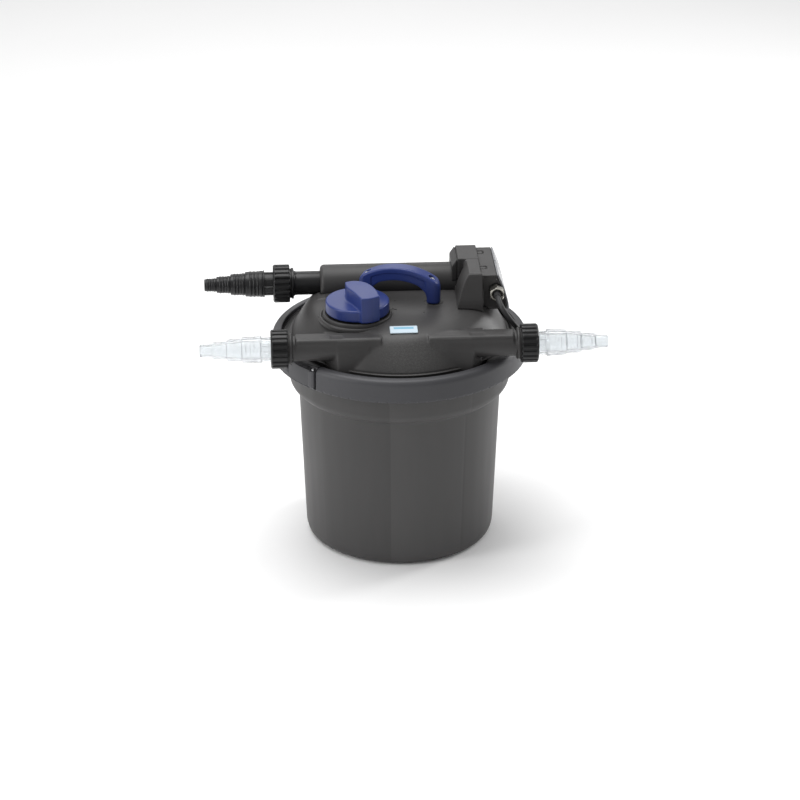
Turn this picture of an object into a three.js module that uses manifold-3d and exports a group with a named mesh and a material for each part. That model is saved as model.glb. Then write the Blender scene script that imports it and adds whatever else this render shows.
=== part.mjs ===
// Pressurized pond filter: a bucket with a domed lid held by a clamp ring, a UVC lamp tube
// with its control gear on top, three hose connections, a pull handle and a selector knob.
// Millimetres, +Z up. The origin is the centre of the bucket's underside, and +X points
// along the hose connections.
import * as THREE from "three";
import Module from "manifold-3d";
import { mergeVertices } from "three/addons/utils/BufferGeometryUtils.js";

const wasm = await Module();
wasm.setup();

// ---- driving dimensions ----
const GAP = 0.3; // left between pieces that touch
const BUCKET = {
  baseR: 141.6, bodyR: 151.3, collarR: 166.4, collarZ: 242, shoulderZ: 295.8, rimZ: 303, rimR: 182.5, wall: 4,
};
const LID = { flangeZ: 306.6, flangeTopZ: 321, flangeR: 182.5, domeR: 163, topZ: 375.5, wall: 4.5 };
const RING = { outerR: 190, wallR: 184, lipR: 176, bottomZ: 290, topZ: 325 };
const LATCH = { azimuth: 224.5, reach: 24, bottomZ: 293, topZ: 320, barR: 4.6 };
const FRONT = { y: -119, z: 350 }; // axis of the two front hose connections
const REAR = { y: 55, z: 380 }; // axis of the lamp tube and the rear hose connection
const SOCKET = { tubeR: 18.3, flangeR: 23.2, threadR: 22, boreR: 14, faceX: 163.5, endX: 180 };
const NUT = { r: 28.5, boreR: 22.7, neckR: 18.9, length: 25, overlap: 10.6, lip: 4.6, ribs: 20 };
const TAIL = {
  neckR: 18.3, flangeR: 21.9, stepR: [19, 16, 12.5, 9.5], stepLength: [27, 22, 21, 18], neck: 15,
};
const UVC = { r: 27, innerR: 23.5, leftX: -116, rightX: 104, sleeveR: 15.5, lampR: 7.5 };
const HEAD = {
  leftX: 80, splitX: 119.5, rightX: 145, footX: 160, frontY: -29.5, backY: 82,
  topZ: 424, lowTopZ: 420.5, footZ: 366, portR: 13.7,
};
const GLAND = { x: 141, z: 397, splitY: -36, endY: -48, reliefY: -58.5 }; // on the front of the head's cover
const KNOB = { x: -65, y: -54, r: 46.8, bottomZ: 380, discZ: 397.6, topZ: 419.5, padR: 52 };
const HANDLE = {
  turn: -17.5, y: -5.5, legU: 51.5, legHalf: 11, half: 11, bottomZ: 377, crownZ: 429, crownR: 102, depth: 20,
};
const SCREW = { u: 48.5, seatZ: 408.5 };
const LABEL = { width: 40, depth: 18, thick: 1.2, tilt: 9.5, z: 374 };
const CORE = { tubeR: 34, foamInnerR: 60, foamR: 125, plateZ: 268, pressZ: 40, plate: 6, foams: 4 };
const CORD = { r: 4, coilX: 45, coilY: 222, coilInnerR: 29.5, coilOuterR: 62.5, coilZ: 32.4 };

const TURN = 2 * Math.PI;
const HALF_TURN = Math.PI / 2;
const DEG = Math.PI / 180;

// ---- materials ----
function finish(color, roughness, metalness = 0, opacity = 1) {
  return new THREE.MeshStandardMaterial({ color, roughness, metalness, opacity, transparent: opacity < 1 });
}
const GREY = finish(0x4b4b4d, 0.5);
const RING_GREY = finish(0x4c4d50, 0.5);
const BLACK = finish(0x262627, 0.45);
const BLUE = finish(0x2a3a78, 0.4);
const CLEAR = finish(0xe8ecee, 0.15, 0, 0.5);
const RUBBER = finish(0x1b1b1c, 0.8);
const STEEL = finish(0xb9bbbe, 0.3, 1);
const FOAM = finish(0x2d4a7a, 0.95);
const WHITE = finish(0xe4e8ec, 0.4);

// ---- solids ----
function closed(geometry) {
  const bare = geometry.clone();
  for (const name of Object.keys(bare.attributes)) {
    if (name !== "position") bare.deleteAttribute(name);
  }
  const welded = mergeVertices(bare, 1e-3);
  const at = welded.attributes.position;
  const faces = [];
  const corners = [new THREE.Vector3(), new THREE.Vector3(), new THREE.Vector3()];
  let volume = 0;
  for (let i = 0; i < welded.index.count; i += 3) {
    const face = [0, 1, 2].map((k) => welded.index.getX(i + k));
    if (new Set(face).size < 3) continue;
    face.forEach((v, k) => corners[k].fromBufferAttribute(at, v));
    volume += corners[0].dot(corners[1].clone().cross(corners[2]));
    faces.push(face);
  }
  welded.setIndex(faces.flatMap((face) => (volume < 0 ? [face[0], face[2], face[1]] : face)));
  return welded;
}

function solid(geometry) {
  if (geometry instanceof wasm.Manifold) return geometry;
  const welded = closed(geometry);
  return new wasm.Manifold(new wasm.Mesh({
    numProp: 3,
    vertProperties: Float32Array.from(welded.attributes.position.array),
    triVerts: Uint32Array.from(welded.index.array),
  }));
}

const join = (...parts) => parts.map(solid).reduce((sum, part) => sum.add(part));
const cut = (body, ...tools) => tools.map(solid).reduce((rest, tool) => rest.subtract(tool), solid(body));
const common = (...parts) => parts.map(solid).reduce((sum, part) => sum.intersect(part));

function surface(shape) {
  if (!(shape instanceof wasm.Manifold)) return closed(shape);
  const mesh = shape.getMesh();
  const geometry = new THREE.BufferGeometry();
  geometry.setAttribute("position", new THREE.BufferAttribute(Float32Array.from(mesh.vertProperties), 3));
  geometry.setIndex(new THREE.BufferAttribute(Uint32Array.from(mesh.triVerts), 1));
  return geometry;
}

const filter = new THREE.Group();
filter.name = "pond_filter";

function piece(name, shape, material, parent = filter) {
  const geometry = surface(shape);
  geometry.computeVertexNormals();
  const mesh = new THREE.Mesh(geometry, material);
  mesh.name = name;
  parent.add(mesh);
  return mesh;
}

// ---- shape helpers ----
const points = (pairs) => pairs.map(([r, z]) => new THREE.Vector2(r, z));

// A profile of (radius, height) pairs turned round the Z axis.
const turned = (profile, sides = 48) => new THREE.LatheGeometry(points(profile), sides).rotateX(HALF_TURN);

// A closed ring section turned round the Z axis.
const ringOf = (section, sides) => turned([...section, section[0]], sides);

// A profile of (radius, x) pairs turned round the X axis through (y, z).
function turnedX(profile, y, z, sides = 32) {
  return new THREE.LatheGeometry(points(profile), sides).rotateZ(-HALF_TURN).translate(0, y, z);
}

function rodX(r, x0, x1, y, z, sides = 32) {
  return new THREE.CylinderGeometry(r, r, Math.abs(x1 - x0), sides)
    .rotateZ(HALF_TURN).translate((x0 + x1) / 2, y, z);
}

function rodZ(r, z0, z1, x = 0, y = 0, sides = 32) {
  return new THREE.CylinderGeometry(r, r, z1 - z0, sides).rotateX(HALF_TURN).translate(x, y, (z0 + z1) / 2);
}

function box(x0, x1, y0, y1, z0, z1) {
  return new THREE.BoxGeometry(x1 - x0, y1 - y0, z1 - z0)
    .translate((x0 + x1) / 2, (y0 + y1) / 2, (z0 + z1) / 2);
}

const outline = (pairs) => new THREE.Shape(points(pairs));
const extruded = (shape, depth, curveSegments = 12) => new THREE.ExtrudeGeometry(
  shape, { depth, bevelEnabled: false, curveSegments });

// An outline of (x, z) pairs extruded along Y from y0 to y1.
const slabY = (pairs, y0, y1) => extruded(outline(pairs), y1 - y0).rotateX(HALF_TURN).translate(0, y1, 0);

// An outline of (y, z) pairs extruded along X from x0 to x1.
const slabX = (pairs, x0, x1) => extruded(outline(pairs), x1 - x0)
  .rotateX(HALF_TURN).rotateZ(HALF_TURN).translate(x0, 0, 0);

const wrapped = (geometry, degrees) => geometry.rotateZ(degrees * DEG);

// ---- bucket ----
const bucketProfile = [
  [0, 0], [BUCKET.baseR - 12, 0], [BUCKET.baseR - 3.4, 3.6], [BUCKET.baseR + 0.4, 12],
  [BUCKET.bodyR, BUCKET.collarZ - 1.5], [BUCKET.bodyR + 5, BUCKET.collarZ],
  [BUCKET.collarR - 4.4, BUCKET.collarZ + 5], [BUCKET.collarR - 1.4, BUCKET.collarZ + 12],
  [BUCKET.collarR, BUCKET.shoulderZ - 6], [BUCKET.collarR, BUCKET.shoulderZ],
  [BUCKET.rimR, BUCKET.shoulderZ + 0.6], [BUCKET.rimR, BUCKET.rimZ],
  [BUCKET.collarR - BUCKET.wall, BUCKET.rimZ], [BUCKET.collarR - BUCKET.wall, BUCKET.shoulderZ - 6],
  [BUCKET.collarR - BUCKET.wall - 1.4, BUCKET.collarZ + 14], [BUCKET.bodyR + 1, BUCKET.collarZ + 5],
  [BUCKET.bodyR - BUCKET.wall, BUCKET.collarZ + 1.5], [BUCKET.baseR - BUCKET.wall, 12],
  [BUCKET.baseR - 14, 5], [0, 5],
];
piece("bucket", turned(bucketProfile, 52), GREY);

piece("lid_gasket", ringOf([[166, BUCKET.rimZ + GAP], [178, BUCKET.rimZ + GAP], [178, LID.flangeZ - GAP],
  [166, LID.flangeZ - GAP]], 40), RUBBER);

// ---- lid ----
const domeProfile = [
  [LID.domeR, LID.flangeTopZ], [156.5, 333], [143.5, 355], [137.5, 362.8], [130, 368.5],
  [117, 372.6], [90, LID.topZ - 0.6], [0, LID.topZ],
];
const lidOuter = [[0, LID.flangeZ], [LID.flangeR, LID.flangeZ], [LID.flangeR, 318.6], [175.4, 318.8],
  [175.4, LID.flangeTopZ], ...domeProfile];
const lidInner = [[0, LID.flangeZ - 10], [158.5, LID.flangeZ - 10], [158.2, 320], [151.5, 333],
  [138.5, 355], [127, 364.2], [113, 368], [88, 370.4], [0, LID.topZ - LID.wall]];
const dome = () => turned(lidOuter, 52);
const handlePoint = (u) => [u * Math.cos(HANDLE.turn * DEG), HANDLE.y + u * Math.sin(HANDLE.turn * DEG)];
const handleSides = [-1, 1];

function frontSocket(side) {
  const nearX = side * 52;
  const tube = rodX(SOCKET.tubeR, nearX, side * SOCKET.endX, FRONT.y, FRONT.z, 24);
  const flange = rodX(SOCKET.flangeR, side * SOCKET.faceX, side * (SOCKET.faceX + 3.7), FRONT.y, FRONT.z, 24);
  const thread = rodX(SOCKET.threadR, side * SOCKET.faceX, side * SOCKET.endX, FRONT.y, FRONT.z, 24);
  const spread = (x0, x1) => [Math.min(side * x0, side * x1), Math.max(side * x0, side * x1)];
  const flatTop = box(...spread(30, 158), FRONT.y - 13.5, FRONT.y + 15, FRONT.z, FRONT.z + 19.6);
  const skirtPlan = [[30, -134], [53, -140], [79, -141.8], [101, -127.2], [117, -113], [117, -96], [30, -96]];
  const skirt = extruded(outline(skirtPlan.map(([x, y]) => [side * x, y])), 32)
    .translate(0, 0, LID.flangeTopZ - 1);
  return join(tube, flange, thread, flatTop, skirt);
}

function lidShell() {
  const cradle = common(rodX(31.5, -126, 108, REAR.y, REAR.z, 28), dome());
  const pad = rodZ(KNOB.padR, 366, KNOB.bottomZ - 1, KNOB.x, KNOB.y, 36);
  const handlePads = handleSides.map((side) => rodZ(
    12, 370, HANDLE.bottomZ - 0.8, ...handlePoint(side * HANDLE.legU), 16));
  const spindleBoss = rodZ(13, 352, 374, KNOB.x, KNOB.y, 16);
  const hollow = cut(turned(lidInner, 52), cradle, spindleBoss);
  const body = cut(join(dome(), frontSocket(-1), frontSocket(1), pad, ...handlePads), hollow);
  const bores = [-1, 1].map((side) => rodX(SOCKET.boreR, side * 50, side * 184, FRONT.y, FRONT.z, 18));
  const troughs = [rodX(UVC.r + GAP, UVC.leftX - GAP, 200, REAR.y, REAR.z, 28),
    rodX(18.2, -200, UVC.leftX + 1, REAR.y, REAR.z, 20)];
  const port = rodZ(12, 340, 380, 60, REAR.y, 16);
  const rodHoles = handleSides.map((side) => rodZ(5.4, 330, 400, ...handlePoint(side * HANDLE.legU), 16));
  return cut(body, ...bores, ...troughs, port, ...rodHoles, rodZ(8.4, 340, 400, KNOB.x, KNOB.y, 16));
}
piece("lid", lidShell(), GREY);

// ---- clamp ring with its latch ----
const ringSection = [
  [167, RING.bottomZ], [RING.outerR, RING.bottomZ], [RING.outerR, RING.topZ - 6],
  [RING.outerR - 3.5, RING.topZ - 1.2], [RING.outerR - 10, RING.topZ], [RING.lipR, RING.topZ],
  [RING.lipR, RING.topZ - 5.8], [RING.wallR, RING.topZ - 5.8], [RING.wallR, RING.bottomZ + 5.6],
  [167, RING.bottomZ + 5.6],
];

// A block between two radii and two azimuths.
function arcBlock(r0, r1, from, to, z0, z1, steps = 10) {
  const shape = new THREE.Shape();
  shape.absarc(0, 0, r1, from * DEG, to * DEG, false);
  shape.absarc(0, 0, r0, to * DEG, from * DEG, true);
  return extruded(shape, z1 - z0, steps).translate(0, 0, z0);
}

const latchPivotR = RING.outerR - 2.4;
const latchPivot = [latchPivotR * Math.cos(LATCH.azimuth * DEG), latchPivotR * Math.sin(LATCH.azimuth * DEG)];
const latchStart = LATCH.azimuth - LATCH.reach;

function clampRing() {
  const pocket = arcBlock(RING.outerR - 3.6, RING.outerR + 5, latchStart - 1, LATCH.azimuth + 1.4,
    LATCH.bottomZ - 0.6, LATCH.topZ + 0.6);
  const barrelRoom = rodZ(LATCH.barR + 0.6, LATCH.bottomZ - 0.6, LATCH.topZ + 0.6, ...latchPivot, 20);
  const pinHole = rodZ(2 + GAP, RING.bottomZ + 1, RING.topZ - 2, ...latchPivot, 12);
  const split = wrapped(box(150, 200, -1, 1, 280, 330), LATCH.azimuth + 3.2);
  const stopLug = wrapped(box(186, 192, -3.5, 3.5, 312, 318), 20);
  return cut(join(ringOf(ringSection, 56), stopLug), pocket, barrelRoom, pinHole, split);
}
piece("clamp_ring", clampRing(), RING_GREY);
piece("latch_pin", rodZ(2, RING.bottomZ + 1.3, RING.topZ - 2.3, ...latchPivot, 12), STEEL);

function latchLever() {
  const arm = arcBlock(RING.outerR - 3.2, RING.outerR, latchStart, LATCH.azimuth, LATCH.bottomZ, LATCH.topZ);
  const tip = arcBlock(RING.outerR - 3.2, RING.outerR + 3, latchStart, latchStart + 2, LATCH.bottomZ + 4,
    LATCH.topZ - 4, 2);
  const barrel = rodZ(LATCH.barR, LATCH.bottomZ, LATCH.topZ, ...latchPivot, 20);
  return cut(join(arm, tip, barrel), rodZ(2 + GAP, 280, 330, ...latchPivot, 12));
}
piece("latch_lever", latchLever(), RING_GREY);

// ---- hose connections ----
// Each is made along +X with the socket's thread ending at x = 0, then turned to its side.
function nutShape() {
  const start = -NUT.overlap;
  const face = NUT.length - NUT.overlap;
  const grip = Array.from({ length: NUT.ribs * 4 }, (_, i) => {
    const r = i % 4 < 2 ? NUT.r : NUT.r - 1.8;
    const angle = ((i + 0.5) * TURN) / (NUT.ribs * 4);
    return [r * Math.cos(angle), r * Math.sin(angle)];
  });
  const hollow = join(
    rodX(NUT.boreR, start - 5, face - NUT.lip, 0, 0, 24),
    rodX(NUT.neckR, start, face + 5, 0, 0, 24),
  );
  return cut(slabX(grip, start, face), hollow);
}

function tailShape() {
  const face = NUT.length - NUT.overlap;
  const start = face - NUT.lip - GAP;
  const profile = [[13, start - 6], [TAIL.flangeR, start - 6], [TAIL.flangeR, start], [TAIL.neckR, start],
    [TAIL.neckR, face + TAIL.neck - 2], [TAIL.stepR[0] + 1.4, face + TAIL.neck - 2]];
  let x = face + TAIL.neck;
  TAIL.stepR.forEach((r, i) => {
    const end = x + TAIL.stepLength[i];
    profile.push([r + 0.8, x], [r, x + TAIL.stepLength[i] * 0.3], [r - 0.4, end]);
    x = end;
  });
  profile.push([7, x], [7.2, x - 18], [13, x - 62], [13, start - 6]);
  return turnedX(profile, 0, 0, 20);
}

function washerShape() {
  return turnedX([[14, GAP], [TAIL.flangeR, GAP], [TAIL.flangeR, 3.2], [14, 3.2], [14, GAP]], 0, 0, 20);
}

const rearEndX = -172;
const connections = [
  { name: "left", side: -1, at: [-SOCKET.endX, FRONT.y, FRONT.z], look: CLEAR },
  { name: "right", side: 1, at: [SOCKET.endX, FRONT.y, FRONT.z], look: CLEAR },
  { name: "rear", side: -1, at: [rearEndX, REAR.y, REAR.z], look: BLACK },
];
for (const { name, side, at, look } of connections) {
  const place = new THREE.Group();
  place.position.set(...at);
  place.rotation.z = side < 0 ? Math.PI : 0;
  filter.add(place);
  piece(`union_nut_${name}`, nutShape(), BLACK, place);
  piece(`hose_tail_${name}`, tailShape(), look, place);
  piece(`flat_washer_${name}`, washerShape(), RUBBER, place);
}

// ---- UVC lamp tube ----
function lampTube() {
  const flangeX = rearEndX + SOCKET.endX - SOCKET.faceX;
  const profile = [[SOCKET.boreR, rearEndX], [SOCKET.threadR, rearEndX], [SOCKET.threadR, flangeX - 3.7],
    [SOCKET.flangeR, flangeX - 3.7], [SOCKET.flangeR, flangeX], [17.7, flangeX], [17.7, UVC.leftX],
    [UVC.r - 4, UVC.leftX], [UVC.r - 1.2, UVC.leftX + 1.2], [UVC.r, UVC.leftX + 4], [UVC.r, UVC.rightX],
    [UVC.innerR, UVC.rightX], [UVC.innerR, UVC.leftX + 4], [SOCKET.boreR, UVC.leftX + 4],
    [SOCKET.boreR, rearEndX]];
  return cut(turnedX(profile, REAR.y, REAR.z, 28), rodZ(12, 340, REAR.z, 60, REAR.y, 16));
}
piece("uvc_tube", lampTube(), GREY);

const sleeveEndX = 98;
const sleeveInnerR = UVC.sleeveR - 1.5;
const sleeveProfile = [
  [0, -92], [8, -91], [13.5, -86], [UVC.sleeveR, -78], [UVC.sleeveR, sleeveEndX], [sleeveInnerR, sleeveEndX],
  [sleeveInnerR, -77], [12.2, -84.6], [7.5, -89.4], [0, -90.4],
];
piece("quartz_sleeve", turnedX(sleeveProfile, REAR.y, REAR.z, 16), CLEAR);
piece("uvc_lamp", turnedX([[0, -80], [5, -79], [UVC.lampR, -75], [UVC.lampR, 86], [11, 86.4], [11, 99.5],
  [0, 99.5]], REAR.y, REAR.z, 14), WHITE);
piece("lamp_holder", turnedX([[0, 99.9], [13, 99.9], [13, 112], [0, 112]], REAR.y, REAR.z, 16), WHITE);

// A plain ring between the sleeve and the tube, from x0 to x1.
function sleeveRing(x0, x1) {
  const r0 = UVC.sleeveR + GAP;
  const r1 = UVC.innerR - GAP;
  return turnedX([[r0, x0], [r1, x0], [r1, x1], [r0, x1], [r0, x0]], REAR.y, REAR.z, 16);
}
piece("sleeve_seal", sleeveRing(86, 90), RUBBER);
piece("sleeve_retainer", sleeveRing(90 + GAP, 97), BLACK);

// ---- lamp head: housing, cover, end panel and control gear ----
const domeRoom = () => dome().translate(0, 0, 0.4);
const headFront = [
  [-31, HEAD.topZ], [-39.5, 400], [-46, 384], [-48, HEAD.footZ], [28, HEAD.footZ], [28, HEAD.topZ],
];
const headFlare = [[102, HEAD.topZ], [96, 414.3], [91.6, 404.5], [88, 394.4], [85.6, 386], [84.1, 379],
  [84, HEAD.footZ], [HEAD.splitX, HEAD.footZ], [HEAD.splitX, HEAD.topZ]];

function headShell() {
  const front = common(slabX(headFront, 80, 125), slabY(headFlare, -60, 60));
  const back = slabY([[HEAD.leftX, 352], [HEAD.splitX, 352], [HEAD.splitX, HEAD.topZ], [88, HEAD.topZ],
    [HEAD.leftX, HEAD.topZ - 12]], 27.5, 84);
  const recess = box(84, 96, 20, 27, 380, 440);
  const pocket = join(
    box(105, 130, -32, 80, 383, HEAD.topZ - 3.5),
    rodX(HEAD.portR, 105, 130, REAR.y, REAR.z, 32),
  );
  const tubeRoom = rodX(UVC.r + GAP, 60, 106, REAR.y, REAR.z, 40);
  return cut(join(front, back), recess, pocket, tubeRoom, domeRoom());
}
piece("head_housing", headShell(), GREY);

const coverX = HEAD.splitX + GAP;

// A round piece along Y on the gland's axis, with radius r0 at y0 and r1 at y1.
function alongY(r0, r1, y0, y1, sides) {
  return new THREE.CylinderGeometry(r1, r0, y1 - y0, sides).translate(GLAND.x, (y0 + y1) / 2, GLAND.z);
}

function headCover() {
  const body = slabY([[coverX, HEAD.footZ], [157.6, HEAD.footZ], [156.6, 376], [149.8, 400],
    [141.7, HEAD.lowTopZ], [coverX, HEAD.lowTopZ]], HEAD.frontY, HEAD.backY);
  const pocketOutline = [[110, 377], [151.5, 377], [139, 417.5], [110, 417.5]];
  const pocket = slabY(pocketOutline, HEAD.frontY + 3.5, HEAD.backY - 3);
  return cut(body, pocket, domeRoom(), alongY(4.6, 4.6, -38, -18, 16));
}
piece("head_cover", headCover(), GREY);
const panelOutline = [
  [142, HEAD.lowTopZ], [HEAD.rightX, HEAD.lowTopZ], [153, 401], [HEAD.footX, 376],
  [HEAD.footX + 1, HEAD.footZ], [158, HEAD.footZ], [157, 376], [150.2, 400],
];
piece("head_end_panel", slabY(panelOutline, HEAD.frontY, HEAD.backY), BLACK);
piece("ballast", box(123, 136, -14, 24, 384, 412), WHITE);

// ---- cable gland and strain relief ----
function hexagon(across, y0, y1) {
  const cornerR = across / Math.sqrt(3);
  return new THREE.CylinderGeometry(cornerR, cornerR, y1 - y0, 6)
    .rotateY(HALF_TURN / 3).translate(GLAND.x, (y0 + y1) / 2, GLAND.z);
}
const glandBody = hexagon(18, GLAND.splitY, HEAD.frontY - GAP);
piece("gland_body", cut(glandBody, alongY(4.4, 4.4, -60, 0, 20)), STEEL);
const glandNut = hexagon(20, GLAND.endY, GLAND.splitY - GAP);
piece("gland_nut", cut(glandNut, alongY(6.2, 6.2, -60, 0, 20)), STEEL);
piece("cable_relief", alongY(4.6, 5.9, GLAND.reliefY, GLAND.reliefY + 22, 16), RUBBER);

// ---- mains cable ----
const routePoints = [
  [141, -58.9, 397], [141, -63.5, 396.8], [142, -71, 395.2], [145.2, -79.5, 390], [150.3, -85, 382.5],
  [157.5, -87.5, 373], [165, -86.5, 363], [171, -83, 353.5], [173.6, -77, 343.5], [172.2, -66, 334.5],
  [169.8, -52, 330.6], [167, -36, 328.6], [168.6, -12, 325.7], [169, 18, 325.5], [163.5, 46, 325.5],
  [155, 69.5, 326], [147.6, 86, 328.6], [141.4, 101.5, 332], [137.4, 115.5, 333.6], [135.4, 129.5, 331.6],
  [134.6, 141.5, 324], [133.8, 148.6, 311], [133, 151, 292], [132.4, 151.6, 255], [132, 151.8, 200],
  [131.8, 152, 140], [131.4, 152.4, 92], [129.6, 154, 55], [122.5, 157.8, 24], [110, 161.4, 9],
  [95, 163.3, 4.5], [CORD.coilX + 31.8, 163.5, 4.2],
];
function cordTube(list, steps, sides = 8) {
  const circle = new THREE.Shape();
  circle.absarc(0, 0, CORD.r, 0, TURN, false);
  const section = new THREE.Shape(circle.getPoints(sides / 2).slice(0, -1));
  const path = new THREE.CatmullRomCurve3(list.map((at) => new THREE.Vector3(...at)), false, "centripetal");
  return new THREE.ExtrudeGeometry(section, { steps, extrudePath: path, bevelEnabled: false });
}
piece("mains_cable", cordTube(routePoints, 46), RUBBER);
piece("cable_coil", ringOf([[CORD.coilInnerR, 0.1], [CORD.coilOuterR, 0.1], [CORD.coilOuterR, CORD.coilZ],
  [CORD.coilInnerR, CORD.coilZ]], 24).translate(CORD.coilX, CORD.coilY, 0), RUBBER);

const plugAt = [-40, 168, 19];
const tailPoints = [
  [CORD.coilX - 31.8, 163.5, 28.4], [-2, 163.6, 27.4], [-16, 164, 23.2], [-28.2, 165.5, 19.4], plugAt,
];
piece("mains_cable_end", cordTube(tailPoints, 6), RUBBER);

// ---- mains plug, lying behind the bucket ----
const plug = new THREE.Group();
plug.position.set(...plugAt);
plug.rotation.z = 168 * DEG;
filter.add(plug);
function plugShape() {
  const profile = [[0, 24 + GAP], [9, 24 + GAP], [12.5, 29], [18.6, 37], [18.6, 56], [17.4, 58], [0, 58]];
  const body = turnedX(profile, 0, 0, 24);
  const pins = [-9.5, 9.5].map((y) => rodX(2.4, 57, 76, y, 0, 12));
  return join(body, ...pins);
}
piece("mains_plug", plugShape(), RUBBER, plug);
piece("plug_relief", turnedX([[0, GAP], [4.8, GAP], [7.6, 24], [0, 24]], 0, 0, 16), RUBBER, plug);

// ---- selector knob and its valve ----
const gripOutline = [[-17.5, 15.5], [-6, 19.5], [8, 16], [19.5, 3], [27.2, -19], [30.4, -41.6], [17, -48.8],
  [3.5, -50.6], [-5.6, -25.9], [-15.6, -3]];
function knobShape() {
  const disc = turned([[0, KNOB.bottomZ], [KNOB.r, KNOB.bottomZ], [KNOB.r, KNOB.discZ - 3],
    [KNOB.r - 3, KNOB.discZ], [0, KNOB.discZ]], 36).translate(KNOB.x, KNOB.y, 0);
  const grip = extruded(outline([...gripOutline].reverse()), KNOB.topZ - KNOB.discZ + 2)
    .translate(KNOB.x, KNOB.y, KNOB.discZ - 2);
  return join(disc, grip);
}
piece("selector_knob", knobShape(), BLUE);
piece("knob_spindle", rodZ(8, 334, KNOB.bottomZ - GAP, KNOB.x, KNOB.y, 24), BLACK);
const rotor = rodZ(28, 326, 333.7, KNOB.x, KNOB.y, 24);
piece("valve_rotor", cut(rotor, rodZ(9, 320, 340, KNOB.x + 16, KNOB.y, 16)), BLACK);
function valveChamber() {
  const cup = ringOf([[29, 318], [33, 318], [33, 351], [29, 351]], 24).translate(KNOB.x, KNOB.y, 0);
  return cut(cup, box(KNOB.x + 20, KNOB.x + 40, KNOB.y - 10, KNOB.y + 10, 336, 346));
}
piece("valve_chamber", valveChamber(), BLACK);

// ---- pull handle, its rods and the press plate ----
const handleGroup = new THREE.Group();
handleGroup.position.y = HANDLE.y;
handleGroup.rotation.z = HANDLE.turn * DEG;
filter.add(handleGroup);

function handleShape() {
  const outer = HANDLE.legU + HANDLE.legHalf;
  const inner = HANDLE.legU - 8.5;
  const arcPoint = (r, u) => [u, HANDLE.crownZ - HANDLE.crownR + Math.sqrt(r * r - u * u)];
  const over = [56, 44, 30, 15, 0, -15, -30, -44, -56].map((u) => arcPoint(HANDLE.crownR, u));
  const under = [-30, -15, 0, 15, 30].map((u) => arcPoint(HANDLE.crownR - HANDLE.depth, u));
  const arch = slabY([[outer, HANDLE.bottomZ], [outer, 400], [outer - 1.6, 406], ...over,
    [1.6 - outer, 406], [-outer, 400], [-outer, HANDLE.bottomZ], [-inner, HANDLE.bottomZ], [-inner, 388],
    [3 - inner, 393.5], ...under, [inner - 3, 393.5], [inner, 388], [inner, HANDLE.bottomZ]],
  -HANDLE.half, HANDLE.half);
  const plan = new THREE.Shape();
  plan.absarc(HANDLE.legU, 0, HANDLE.half, -HALF_TURN, HALF_TURN, false);
  plan.absarc(-HANDLE.legU, 0, HANDLE.half, HALF_TURN, 3 * HALF_TURN, false);
  const holes = handleSides.map((side) => rodZ(4.6, SCREW.seatZ, 440, side * SCREW.u, 0, 12));
  return cut(common(arch, extruded(plan, 80, 4).translate(0, 0, 370)), ...holes);
}
piece("pull_handle", handleShape(), BLUE, handleGroup);
for (const side of handleSides) {
  const name = side < 0 ? "left" : "right";
  const screw = rodZ(4.2, SCREW.seatZ + GAP, SCREW.seatZ + 3.6, side * SCREW.u, 0, 12);
  piece(`handle_screw_${name}`, screw, STEEL, handleGroup);
  const rod = rodZ(5, CORE.pressZ + CORE.plate + GAP, HANDLE.bottomZ - GAP, side * HANDLE.legU, 0, 16);
  piece(`pull_rod_${name}`, rod, STEEL, handleGroup);
  piece(`rod_seal_${name}`, ringOf([[5.4, 362], [9, 362], [9, 368], [5.4, 368]], 12)
    .translate(side * HANDLE.legU, 0, 0), RUBBER, handleGroup);
}

// ---- filter core ----
const plateRing = (r0, r1, z0, z1, sides = 32) => ringOf([[r0, z0], [r1, z0], [r1, z1], [r0, z1]], sides);
piece("press_plate", plateRing(CORE.tubeR + 1, 128, CORE.pressZ, CORE.pressZ + CORE.plate), BLACK);
const rodRooms = handleSides.map((side) => rodZ(5.6, 200, 340, ...handlePoint(side * HANDLE.legU), 12));
const headPlate = plateRing(CORE.tubeR + GAP, 132, CORE.plateZ, CORE.plateZ + CORE.plate);
piece("foam_head_plate", cut(headPlate, ...rodRooms), BLACK);

function centreTube() {
  const wall = plateRing(CORE.tubeR - 3, CORE.tubeR, 48, 300, 18);
  const rows = 5;
  const slots = [];
  for (let row = 0; row < rows; row += 1) {
    for (let i = 0; i < 3; i += 1) {
      slots.push(wrapped(box(-50, 50, -3.5, 3.5, 0, 22), i * 60 + 30).translate(0, 0, 62 + row * 40));
    }
  }
  return cut(wall, ...slots);
}
piece("centre_tube", centreTube(), BLACK);

const foamBottom = CORE.pressZ + CORE.plate + GAP;
const foamPitch = (CORE.plateZ - foamBottom) / CORE.foams;
for (let i = 0; i < CORE.foams; i += 1) {
  const z0 = foamBottom + i * foamPitch;
  piece(`foam_ring_${i + 1}`, plateRing(CORE.foamInnerR, CORE.foamR, z0, z0 + foamPitch - GAP, 28), FOAM);
}

// ---- label on the dome ----
piece("label_plate", new THREE.BoxGeometry(LABEL.width, LABEL.depth, LABEL.thick)
  .rotateX(LABEL.tilt * DEG).translate(-0.8, -114.5, LABEL.z), WHITE);

export default filter;
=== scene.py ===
import functools
import math

import bmesh
import bpy
import numpy as np
from mathutils import Matrix, Vector


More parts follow.
